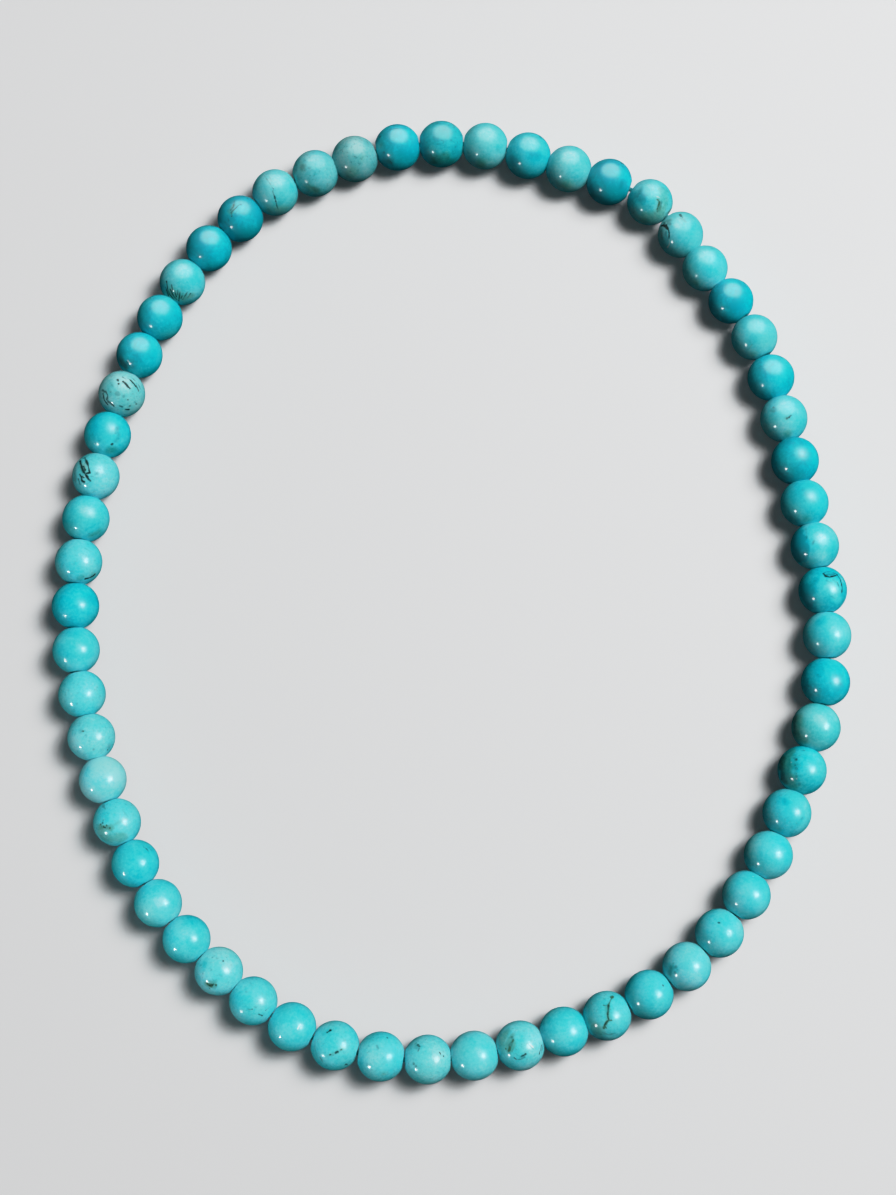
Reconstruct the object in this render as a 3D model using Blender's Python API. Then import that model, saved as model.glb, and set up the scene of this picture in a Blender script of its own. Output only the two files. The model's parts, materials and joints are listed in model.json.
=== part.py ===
"""Turquoise bead necklace: round stone beads strung end to end on one endless cord.

The necklace lies flat in the open loop that it takes when it is put down, with every bead on the
surface. Metres, +Z up, +Y towards the loop's far end. The origin is on the surface, at the middle of
the loop's outline.
"""
import math

import bmesh
import bpy
import numpy as np
from mathutils import Matrix, Vector

# The beads: round stones, each ground flat where its drilled hole comes out
BEAD_COUNT = 59
BEAD_DIAMETER = 0.0080
BEAD_FACE_DIAMETER = 0.0031
# The least gap between two neighbours, at the inner edge of the bend
BEAD_CLEARANCE = 0.00002
# The beads were sorted by eye, so their size drifts along the string: shares of the diameter, by bead
SIZE_DRIFT = {
    1: 1.000,
    6: 1.000,
    10: 0.980,
    14: 1.018,
    20: 1.020,
    24: 1.005,
    31: 1.003,
    36: 0.992,
    45: 0.990,
    49: 1.003,
    53: 0.981,
    57: 0.997,
}
# The facets that stand for the round stone: an odd number of bands has one flat on the widest line
BEAD_SIDES = 12
BANDS_EACH_WAY = 3

# The cord through the beads
CORD_DIAMETER = 0.0008
CORD_RESOLUTION = 1

# The line of the beads' centres, clockwise from the far end, as seen from above
LOOP_ROUTE = [
    (-0.0090, 0.0777),
    (0.0063, 0.0779),
    (0.0208, 0.0738),
    (0.0348, 0.0679),
    (0.0442, 0.0561),
    (0.0525, 0.0439),
    (0.0573, 0.0296),
    (0.0606, 0.0144),
    (0.0633, -0.0008),
    (0.0634, -0.0161),
    (0.0590, -0.0311),
    (0.0529, -0.0454),
    (0.0446, -0.0580),
    (0.0331, -0.0678),
    (0.0190, -0.0738),
    (0.0042, -0.0777),
    (-0.0110, -0.0779),
    (-0.0252, -0.0734),
    (-0.0375, -0.0645),
    (-0.0478, -0.0536),
    (-0.0550, -0.0404),
    (-0.0599, -0.0258),
    (-0.0629, -0.0110),
    (-0.0629, 0.0040),
    (-0.0603, 0.0191),
    (-0.0561, 0.0338),
    (-0.0498, 0.0473),
    (-0.0415, 0.0596),
    (-0.0302, 0.0696),
    (-0.0199, 0.0742),
]
SAMPLES_PER_STRETCH = 60
SPACING_ROUNDS = 6

# The length between the two ground faces, where they cut the round stone
BEAD_LENGTH = math.sqrt(BEAD_DIAMETER**2 - BEAD_FACE_DIAMETER**2)
BEAD_RADIUS = BEAD_DIAMETER / 2
BEAD_BANDS = 2 * BANDS_EACH_WAY + 1
# The facets touch the round stone from outside, so that it rests on a flat one at its true radius
SIDE_ANGLE = math.pi / BEAD_SIDES
BAND_ANGLE = math.pi / (2 * BEAD_BANDS)
FACETED_RADIUS = BEAD_RADIUS / (math.cos(SIDE_ANGLE) * math.cos(BAND_ANGLE))

TURQUOISE = (0.060, 0.520, 0.560, 1.0)
TURQUOISE_ROUGHNESS = 0.28


def clear_scene():
    """Removes whatever the file holds when the script starts."""
    for obj in list(bpy.data.objects):
        bpy.data.objects.remove(obj, do_unlink=True)


def new_collection(name):
    """A collection linked to the scene."""
    collection = bpy.data.collections.new(name)
    bpy.context.scene.collection.children.link(collection)
    return collection


def turquoise():
    """Polished turquoise."""
    material = bpy.data.materials.new("turquoise")
    material.use_nodes = True
    shader = material.node_tree.nodes["Principled BSDF"]
    shader.inputs["Base Color"].default_value = TURQUOISE
    shader.inputs["Roughness"].default_value = TURQUOISE_ROUGHNESS
    shader.inputs["Metallic"].default_value = 0.0
    return material


class Loop:
    """The closed smooth line through the route's points, measured along its own length."""

    def __init__(self, points):
        self.points = points
        before, here, after, beyond = (
            np.roll(points, turn, axis=0)[:, None, :] for turn in (1, 0, -1, -2)
        )
        share = np.linspace(0, 1, SAMPLES_PER_STRETCH, endpoint=False)[None, :, None]
        # Catmull-Rom: a stretch leaves its point parallel to the line between that point's neighbours
        line = 0.5 * (
            2 * here
            + (after - before) * share
            + (2 * before - 5 * here + 4 * after - beyond) * share**2
            + (3 * here - before - 3 * after + beyond) * share**3
        ).reshape(-1, 2)
        self.line = np.vstack([line, line[:1]])
        steps = np.linalg.norm(np.diff(self.line, axis=0), axis=1)
        self.travel = np.concatenate([[0], np.cumsum(steps)])
        self.length = self.travel[-1]

    def point(self, station):
        """The point that lies station metres along the loop."""
        along = station % self.length
        return np.array([np.interp(along, self.travel, self.line[:, axis]) for axis in (0, 1)])

    def heading(self, station):
        """The angle of a bead's drilled hole at a station, between its two faces."""
        ahead = self.point(station + BEAD_LENGTH / 2)
        behind = self.point(station - BEAD_LENGTH / 2)
        return math.atan2(ahead[1] - behind[1], ahead[0] - behind[0])

    def grown(self, factor):
        """The same loop, larger or smaller."""
        return Loop(self.points * factor)


def face_radius(bead):
    """How far the corners of a bead's ground face are from its hole's axis."""
    end = max(v.co.x for v in bead.verts)
    return max(Vector(v.co.yz).length for v in bead.verts if math.isclose(v.co.x, end, rel_tol=1e-4))


def size_shares():
    """Each bead's size as a share of the nominal one, even between two stated beads."""
    stated = [*SIZE_DRIFT, BEAD_COUNT + 1]
    shares = [*SIZE_DRIFT.values(), SIZE_DRIFT[1]]
    return np.interp(np.arange(1, BEAD_COUNT + 1), stated, shares)


def string_beads(end_radius):
    """The centre, heading and size share of each bead, on a loop grown to hold just these beads.

    Two neighbours turn by the bend between them, so they stand apart by what the inner corners of
    their ground faces need there.
    """
    shares = size_shares()
    half_lengths = BEAD_LENGTH / 2 * shares
    corner = end_radius * shares.max()
    loop = Loop(np.array(LOOP_ROUTE))
    stations = np.arange(BEAD_COUNT) * loop.length / BEAD_COUNT
    for _ in range(SPACING_ROUNDS):
        headings = np.array([loop.heading(station) for station in stations])
        turns = np.roll(headings, -1) - headings
        turns = np.abs((turns + math.pi) % (2 * math.pi) - math.pi)
        lengths = half_lengths + np.roll(half_lengths, -1)
        pitches = lengths + BEAD_CLEARANCE + 2 * corner * np.sin(turns / 2)
        loop = loop.grown(pitches.sum() / loop.length)
        stations = np.concatenate([[0], np.cumsum(pitches)[:-1]])
    return [(loop.point(s), loop.heading(s), share) for s, share in zip(stations, shares)]


def faceted_bead():
    """One bead along +X, a flat facet down, as a bmesh."""
    bead = bmesh.new()
    bmesh.ops.create_uvsphere(
        bead, u_segments=BEAD_SIDES, v_segments=BEAD_BANDS, radius=FACETED_RADIUS
    )
    facet_down = Matrix.Rotation(SIDE_ANGLE, 3, "Z")
    poles_along_x = Matrix.Rotation(math.pi / 2, 3, "Y")
    bmesh.ops.rotate(bead, verts=bead.verts, cent=(0, 0, 0), matrix=poles_along_x @ facet_down)
    for side in (1, -1):
        cut = bmesh.ops.bisect_plane(
            bead,
            geom=[*bead.verts, *bead.edges, *bead.faces],
            plane_co=(side * BEAD_LENGTH / 2, 0, 0),
            plane_no=(side, 0, 0),
            clear_outer=True,
        )
        rim = [item for item in cut["geom_cut"] if isinstance(item, bmesh.types.BMEdge)]
        bmesh.ops.edgeloop_fill(bead, edges=rim)
    bmesh.ops.recalc_face_normals(bead, faces=bead.faces)
    return bead


def all_beads(bead, places):
    """A mesh of every bead at its place on the surface."""
    one = bpy.data.meshes.new("one_bead")
    bead.to_mesh(one)
    together = bmesh.new()
    for centre, heading, share in places:
        first = len(together.verts)
        together.from_mesh(one)
        together.verts.ensure_lookup_table()
        turn = Matrix.Rotation(heading, 4, "Z") @ Matrix.Scale(share, 4)
        place = Matrix.Translation((*centre, BEAD_RADIUS * share)) @ turn
        bmesh.ops.transform(together, matrix=place, verts=together.verts[first:])
    mesh = bpy.data.meshes.new("bead_string")
    together.to_mesh(mesh)
    together.free()
    return mesh


def cord(places, collection):
    """The endless cord through the beads' centres, as a mesh object that the beads are joined to."""
    curve = bpy.data.curves.new("cord_line", "CURVE")
    curve.dimensions = "3D"
    curve.bevel_depth = CORD_DIAMETER / 2
    curve.bevel_resolution = CORD_RESOLUTION
    spline = curve.splines.new("POLY")
    spline.points.add(len(places) - 1)
    for point, (centre, _, share) in zip(spline.points, places):
        point.co = (*centre, BEAD_RADIUS * share, 1)
    spline.use_cyclic_u = True
    line = bpy.data.objects.new("cord_line", curve)
    collection.objects.link(line)
    bpy.context.view_layer.update()
    evaluated = line.evaluated_get(bpy.context.evaluated_depsgraph_get())
    mesh = bpy.data.meshes.new_from_object(evaluated)
    tube = bpy.data.objects.new("cord", mesh)
    collection.objects.link(tube)
    bpy.data.objects.remove(line)
    tube.hide_render = True
    tube.display_type = "WIRE"
    return tube


def centre_on_origin(mesh):
    """Moves the mesh so that the middle of its outline is over the origin."""
    points = np.array([v.co for v in mesh.vertices])
    middle = (points.min(axis=0) + points.max(axis=0)) / 2
    mesh.transform(Matrix.Translation((-middle[0], -middle[1], 0)))


def bead_string(collection, cutters):
    """The whole string: the beads, joined to the cord by a union."""
    bead = faceted_bead()
    places = string_beads(face_radius(bead))
    beads = bpy.data.objects.new("beads", all_beads(bead, places))
    bead.free()
    cutters.objects.link(beads)
    union = beads.modifiers.new("cord through the beads", "BOOLEAN")
    union.operation = "UNION"
    union.object = cord(places, cutters)
    bpy.context.view_layer.update()
    evaluated = beads.evaluated_get(bpy.context.evaluated_depsgraph_get())
    mesh = bpy.data.meshes.new_from_object(evaluated)
    bpy.data.objects.remove(beads)
    mesh.name = "bead_string"
    centre_on_origin(mesh)
    mesh.materials.clear()
    mesh.materials.append(turquoise())
    string = bpy.data.objects.new("bead_string", mesh)
    collection.objects.link(string)
    return string


def main():
    clear_scene()
    necklace = new_collection("bead_necklace")
    helpers = new_collection("cutters")
    bead_string(necklace, helpers)


main()
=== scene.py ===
"""Turquoise bead necklace, laid down in an open loop: its beads, its cord and its studio stage.

Metres, +Z up from the surface that the beads rest on, +Y towards the loop's far end.
"""
import json
import math

import bpy
import numpy as np
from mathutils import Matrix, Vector

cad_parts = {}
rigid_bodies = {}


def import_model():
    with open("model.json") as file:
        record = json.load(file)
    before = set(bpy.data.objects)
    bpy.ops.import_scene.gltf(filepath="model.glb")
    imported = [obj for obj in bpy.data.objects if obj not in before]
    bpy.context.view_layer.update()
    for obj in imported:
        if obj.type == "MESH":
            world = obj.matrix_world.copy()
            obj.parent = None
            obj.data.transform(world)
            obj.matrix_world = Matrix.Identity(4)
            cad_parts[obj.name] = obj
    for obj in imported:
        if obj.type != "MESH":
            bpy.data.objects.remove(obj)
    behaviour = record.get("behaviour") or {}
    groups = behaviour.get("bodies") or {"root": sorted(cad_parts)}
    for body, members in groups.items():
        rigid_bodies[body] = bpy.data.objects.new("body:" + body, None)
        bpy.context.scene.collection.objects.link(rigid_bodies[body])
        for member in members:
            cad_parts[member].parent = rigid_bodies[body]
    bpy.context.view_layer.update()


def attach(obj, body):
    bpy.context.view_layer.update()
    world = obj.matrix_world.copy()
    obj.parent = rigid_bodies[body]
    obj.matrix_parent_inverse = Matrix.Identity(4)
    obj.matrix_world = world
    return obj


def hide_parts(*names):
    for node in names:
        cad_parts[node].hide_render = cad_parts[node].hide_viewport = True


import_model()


# The eye. The necklace is looked at from above, a little nearer to its near end than to its far one, so
# that every bead shows its top. It comes first, because the beads' marks are charted as seen from here.
EYE = Vector((-0.00051, -0.04687, 0.3223))
EYE_AIM = Vector((-0.00051, -0.00193, 0.0040))
EYE_LENS_MM = 57.15

lens = bpy.data.cameras.new("eye")
lens.lens = EYE_LENS_MM
lens.sensor_width = 36
lens.clip_start = 0.01
eye = bpy.data.objects.new("eye", lens)
eye.location = EYE
eye.rotation_euler = (EYE_AIM - EYE).to_track_quat("-Z", "Y").to_euler()
bpy.context.scene.collection.objects.link(eye)
bpy.context.scene.camera = eye


# The cord. One endless thread of three plies, twisted and waxed, runs through every bead and is drawn
# up tight, so no length of it lies bare. It is knotted inside a bead, and at most a dark line of it can
# be seen, where two beads lean apart at the outside of a bend.
BEAD_COUNT = 59
BEAD_DIAMETER = 0.0080
FACE_DIAMETER = 0.0031
BEAD_LENGTH = math.sqrt(BEAD_DIAMETER**2 - FACE_DIAMETER**2)
BEAD_CLEARANCE = 0.00002
# The beads were sorted by eye, so their size drifts along the string: shares of the diameter, by bead
SIZE_DRIFT = {1: 1.000, 6: 1.000, 10: 0.980, 14: 1.018, 20: 1.020, 24: 1.005, 31: 1.003, 36: 0.992,
              45: 0.990, 49: 1.003, 53: 0.981, 57: 0.997, 60: 1.000}
# How far the inner corner of a ground face is from the hole's middle, which sets the pitch in a bend
FACE_CORNER = 0.0020184
# The line of the beads' middles, clockwise from the far end, and how it is moved to centre the outline
LOOP_ROUTE = [
    (-0.0090, 0.0777), (0.0063, 0.0779), (0.0208, 0.0738), (0.0348, 0.0679), (0.0442, 0.0561),
    (0.0525, 0.0439), (0.0573, 0.0296), (0.0606, 0.0144), (0.0633, -0.0008), (0.0634, -0.0161),
    (0.0590, -0.0311), (0.0529, -0.0454), (0.0446, -0.0580), (0.0331, -0.0678), (0.0190, -0.0738),
    (0.0042, -0.0777), (-0.0110, -0.0779), (-0.0252, -0.0734), (-0.0375, -0.0645), (-0.0478, -0.0536),
    (-0.0550, -0.0404), (-0.0599, -0.0258), (-0.0629, -0.0110), (-0.0629, 0.0040), (-0.0603, 0.0191),
    (-0.0561, 0.0338), (-0.0498, 0.0473), (-0.0415, 0.0596), (-0.0302, 0.0696), (-0.0199, 0.0742),
]
OUTLINE_SHIFT = (-0.000331, 0.000026)
STEPS_PER_STRETCH = 60
SPACING_ROUNDS = 7
CORD_RADIUS = 0.0004
CORD_PLIES = 3
# How deep the groove between two plies is, as a share of the cord's radius, and the length over which one
# ply takes the place of the next
PLY_GROOVE = 0.16
CORD_TWIST = 0.0026
CORD_STEPS_PER_HALF_BEAD = 5
CORD_SIDES = 12

size_shares = np.interp(np.arange(1, BEAD_COUNT + 1), [*SIZE_DRIFT], [*SIZE_DRIFT.values()])


def closed_curve(points):
    """A smooth closed line through the points, and the travel along it. Each stretch is the cubic that
    leaves its point parallel to the line between that point's two neighbours."""
    before, here, after, beyond = (np.roll(points, turn, axis=0)[:, None] for turn in (1, 0, -1, -2))
    share = np.linspace(0, 1, STEPS_PER_STRETCH, endpoint=False)[None, :, None]
    line = 0.5 * (
        2 * here
        + (after - before) * share
        + (2 * before - 5 * here + 4 * after - beyond) * share**2
        + (3 * here - before - 3 * after + beyond) * share**3
    ).reshape(-1, 2)
    line = np.vstack([line, line[:1]])
    steps = np.linalg.norm(np.diff(line, axis=0), axis=1)
    return line, np.concatenate([[0], np.cumsum(steps)])


def along(line, travel, stations):
    """The points that lie the stations' lengths along the closed line."""
    wrapped = stations % travel[-1]
    return np.stack([np.interp(wrapped, travel, line[:, axis]) for axis in (0, 1)], axis=-1)


def string_up(route):
    """The middle and heading of each bead. A pitch is the bead's length, the clearance, and the room that
    the faces' inner corners need, twice the corner times the sine of half the bend. The loop grows until
    it holds just these pitches."""
    half_lengths = BEAD_LENGTH / 2 * size_shares
    corner = FACE_CORNER * size_shares.max()
    line, travel = closed_curve(route)
    stations = np.arange(BEAD_COUNT) * travel[-1] / BEAD_COUNT
    for _ in range(SPACING_ROUNDS):
        middles = along(line, travel, stations)
        chord = along(line, travel, stations + BEAD_LENGTH / 2)
        chord = chord - along(line, travel, stations - BEAD_LENGTH / 2)
        headings = np.arctan2(chord[:, 1], chord[:, 0])
        turns = np.abs((np.roll(headings, -1) - headings + math.pi) % math.tau - math.pi)
        lengths = half_lengths + np.roll(half_lengths, -1)
        pitches = lengths + BEAD_CLEARANCE + 2 * corner * np.sin(turns / 2)
        route = route * (pitches.sum() / travel[-1])
        line, travel = closed_curve(route)
        stations = np.concatenate([[0], np.cumsum(pitches)[:-1]])
    return middles, headings


def closed_grid(name, points, material, **values):
    """A mesh object from a grid of points that closes on itself both ways, as a ring does. A cell's face
    looks along the cross product of the second way and the first. values are per-point attributes."""
    rows, columns = points.shape[:2]
    row, column = np.meshgrid(np.arange(rows), np.arange(columns), indexing="ij")
    next_row, next_column = (row + 1) % rows, (column + 1) % columns
    corners = [(row, column), (row, next_column), (next_row, next_column), (next_row, column)]
    faces = np.stack([r * columns + c for r, c in corners], axis=-1).reshape(-1, 4)
    mesh = bpy.data.meshes.new(name)
    mesh.vertices.add(rows * columns)
    mesh.vertices.foreach_set("co", points.reshape(-1).astype(np.float32))
    mesh.loops.add(faces.size)
    mesh.loops.foreach_set("vertex_index", faces.reshape(-1).astype(np.int32))
    mesh.polygons.add(len(faces))
    mesh.polygons.foreach_set("loop_start", np.arange(0, faces.size, 4, dtype=np.int32))
    mesh.polygons.foreach_set("use_smooth", np.ones(len(faces), dtype=bool))
    for key, value in values.items():
        attribute = mesh.attributes.new(key, "FLOAT", "POINT")
        attribute.data.foreach_set("value", value.reshape(-1).astype(np.float32))
    mesh.update(calc_edges=True)
    mesh.validate()
    mesh.materials.append(material)
    piece = bpy.data.objects.new(name, mesh)
    bpy.context.scene.collection.objects.link(piece)
    return piece


def colour(code):
    """An sRGB hex colour as linear RGBA: below 0.04045 a 12.92th, above it the 2.4 power curve."""
    channels = np.array([int(code[k : k + 2], 16) for k in (1, 3, 5)]) / 255
    linear = np.where(channels <= 0.04045, channels / 12.92, ((channels + 0.055) / 1.055) ** 2.4)
    return (*linear.tolist(), 1.0)


def add_node(tree, kind, settings, inputs):
    """Adds a node. settings are its own properties, and inputs are values, or sockets to link, by socket."""
    made = tree.nodes.new(kind)
    for name, value in settings.items():
        setattr(made, name, value)
    for name, value in inputs.items():
        if isinstance(value, bpy.types.NodeSocket):
            tree.links.new(value, made.inputs[name])
        else:
            made.inputs[name].default_value = value
    return made


def waxed_thread():
    """Waxed polyester thread, dyed to go with the stone: dark, dull, with a faint line between its plies."""
    material = bpy.data.materials.new("waxed_thread")
    material.use_nodes = True
    tree = material.node_tree
    shader = tree.nodes["Principled BSDF"]
    shader.inputs["Roughness"].default_value = 0.62
    place = add_node(tree, "ShaderNodeTexCoord", {}, {}).outputs["Object"]
    # Fibres are 0.02 mm and are drawn ten times as coarse, to show at all
    fibres = add_node(tree, "ShaderNodeTexNoise", {}, {"Vector": place, "Scale": 5000, "Detail": 2})
    ramp = add_node(tree, "ShaderNodeValToRGB", {}, {"Fac": fibres.outputs["Fac"]})
    ramp.color_ramp.elements[0].position = 0.3
    ramp.color_ramp.elements[0].color = colour("#2B7E84")
    ramp.color_ramp.elements[1].position = 0.7
    ramp.color_ramp.elements[1].color = colour("#46A2A6")
    tree.links.new(ramp.outputs["Color"], shader.inputs["Base Color"])
    return material


middles, headings = string_up(np.array(LOOP_ROUTE))
middles = middles + np.array(OUTLINE_SHIFT)
ahead = np.stack([np.cos(headings), np.sin(headings)], axis=-1)
# The cord passes the middle of each bead and then the point midway between two facing holes, and its
# corners are eased by averaging each point with its two neighbours
reach = ahead * (BEAD_LENGTH / 2 * size_shares)[:, None]
mouths = (middles + reach + np.roll(middles - reach, -1, axis=0)) / 2
heights = BEAD_DIAMETER / 2 * size_shares
mouth_heights = (heights + np.roll(heights, -1)) / 2
turning = np.stack(
    [np.column_stack([middles, heights]), np.column_stack([mouths, mouth_heights])], axis=1
).reshape(-1, 3)
share = np.linspace(0, 1, CORD_STEPS_PER_HALF_BEAD, endpoint=False)[None, :, None]
course = (turning[:, None] * (1 - share) + np.roll(turning, -1, axis=0)[:, None] * share).reshape(-1, 3)
course = (course + np.roll(course, 1, axis=0) + np.roll(course, -1, axis=0)) / 3
forward = (np.roll(course, -1, axis=0) - np.roll(course, 1, axis=0))[:, :2]
forward /= np.linalg.norm(forward, axis=1, keepdims=True)
travelled = np.cumsum(np.linalg.norm(course - np.roll(course, 1, axis=0), axis=1))
twists = round(travelled[-1] / CORD_TWIST)
angle = np.linspace(0, math.tau, CORD_SIDES, endpoint=False)[None, :]
lay = angle - (travelled / travelled[-1] * twists * math.tau / CORD_PLIES)[:, None]
# Three round plies side by side: the outline swells over each ply and dips between two
swell = CORD_RADIUS * (1 - PLY_GROOVE + PLY_GROOVE * np.abs(np.cos(lay * CORD_PLIES / 2)))
sideways = np.column_stack([-forward[:, 1], forward[:, 0], np.zeros(len(forward))])[:, None]
upwards = np.array([0.0, 0.0, 1.0])
across = sideways * np.cos(angle)[..., None] + upwards * np.sin(angle)[..., None]
cord_points = course[:, None] + across * swell[..., None]
cord = closed_grid("cord", cord_points, waxed_thread())
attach(cord, "root")
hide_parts("bead_string")


# The beads. Turquoise cut to round beads, drilled through, ground flat where the hole comes out so that two
# neighbours seat on each other, then tumbled and waxed. Brown and black host rock shows in some as veins and
# pits, and each stone has its own tone between deep blue, pale and grey green. Their colour also holds
# painted shade on their lower and left sides, painted light on their lit side, and a few painted glints.
HOLE_RADIUS = 0.00050
HOLE_CHAMFER = 0.00014
FACE_EDGE_ROUND = 0.00050
# How much further than the nominal length each ground face reaches, so that the stones seat closely
SEATING = 0.00005
# No stone is quite round: how far it swells and dips, over what length, and how near to the hole's middle,
# so that the bore and its chamfer keep their form
OUT_OF_ROUND = 0.000018
OUT_OF_ROUND_SPAN = 0.011
DENTS_FROM = 0.6 * FACE_DIAMETER / 2

# Tones as shares: from deep to pale stone, from blue to green, and how much dark rock is in it all over
TONES = {
    "deep": (0.0, 0.04, 0.07), "cyan": (0.12, 0.03, 0.0), "azure": (0.24, 0.03, 0.0),
    "slate": (0.38, 0.08, 0.11), "mid": (0.34, 0.10, 0.0), "leaf": (0.22, 0.30, 0.13),
    "fair": (0.48, 0.12, 0.0), "mild": (0.60, 0.17, 0.06), "sage": (0.54, 0.40, 0.0),
    "palish": (0.61, 0.12, 0.0), "light": (0.75, 0.15, 0.0), "pale": (0.94, 0.15, 0.0),
    "ash": (0.64, 0.25, 0.12), "stone": (0.84, 0.28, 0.15), "smoke": (0.68, 0.30, 0.25),
    "dusk": (0.80, 0.36, 0.38),
}
# The tone of each bead in the order of the route, ten to a line. The far end's beads are set about a step
# darker, and several on the right side a step paler, than their stones: painted shade and painted light for
# how the light falls across the loop.
BEAD_TONES = """
    cyan leaf ash slate ash deep ash ash mild cyan
    mild azure mild cyan mid fair mid palish azure sage
    mid fair palish palish palish light fair palish fair light
    light light palish palish fair palish light fair palish mid
    palish pale light palish fair azure palish fair light mid
    stone azure azure mild cyan deep ash smoke dusk
""".split()
# How far a stone's paleness and greenness drift from its tone, and over what length
PALE_DRIFT, PALE_DRIFT_SPAN = 0.06, 0.005
GREEN_DRIFT, GREEN_DRIFT_SPAN = 0.08, 0.007
# The stones that are flecked all over with fine dark grains, and how thick the grains are in the rest
FLECKED = {2, 7, 19, 21, 22, 28, 30, 32, 33, 34, 36, 37, 41, 43, 44, 47, 49, 51, 58, 59}
FLECKS_IN_REST = 0.3

# What each kind of mark does: its soft edge and its depth in mm, how far it shifts the tone, and how much
# dark rock, olive stain and white chalk it brings. The dark share also lays painted shade, and the white
# share painted glints.
MARK_KINDS = {
    "ink": dict(edge=0.11, depth=0.02, rock=1.0),
    "vein": dict(edge=0.16, depth=0.015, rock=0.80),
    "faint": dict(edge=0.26, depth=0.0, rock=0.42),
    "pit": dict(edge=0.15, depth=0.05, rock=0.95),
    "blot": dict(edge=0.80, depth=0.0, rock=0.28),
    # murk: soft dark green patches; along the left edges of 20, 21, 26 and 52 they are painted shade
    "murk_and_shade": dict(edge=1.20, depth=0.0, green=0.30, rock=0.55),
    "olive": dict(edge=0.18, depth=0.01, stain=1.0, rock=0.42),
    "stain": dict(edge=0.70, depth=0.0, stain=0.50),
    # shade: deeper blue in the stone, and at the left flanks of 26, 42 and 52 painted shade
    "shade": dict(edge=1.60, depth=0.0, pale=-0.34),
    "veil": dict(edge=0.70, depth=0.0, pale=-0.46),
    # moss: greener, darker patches: the stone's own on 1, 7 and 49, and painted shade low and left on the
    # rest
    "moss_and_shade": dict(edge=1.60, depth=0.0, pale=-0.08, green=0.60, rock=0.20),
    # bloom: paler stone on some beads, and on others painted light, on the lit side and along right rims
    "bloom_and_light": dict(edge=1.60, depth=0.0, pale=0.26),
    # chalk: white specks and chips, and painted glints low at the left of 21, 34, 49, 50 and 52
    "chalk_and_glint": dict(edge=0.16, depth=0.0, chalk_and_glint=0.85),
    "chip": dict(edge=0.30, depth=0.22, rock=0.80),
}
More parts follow.
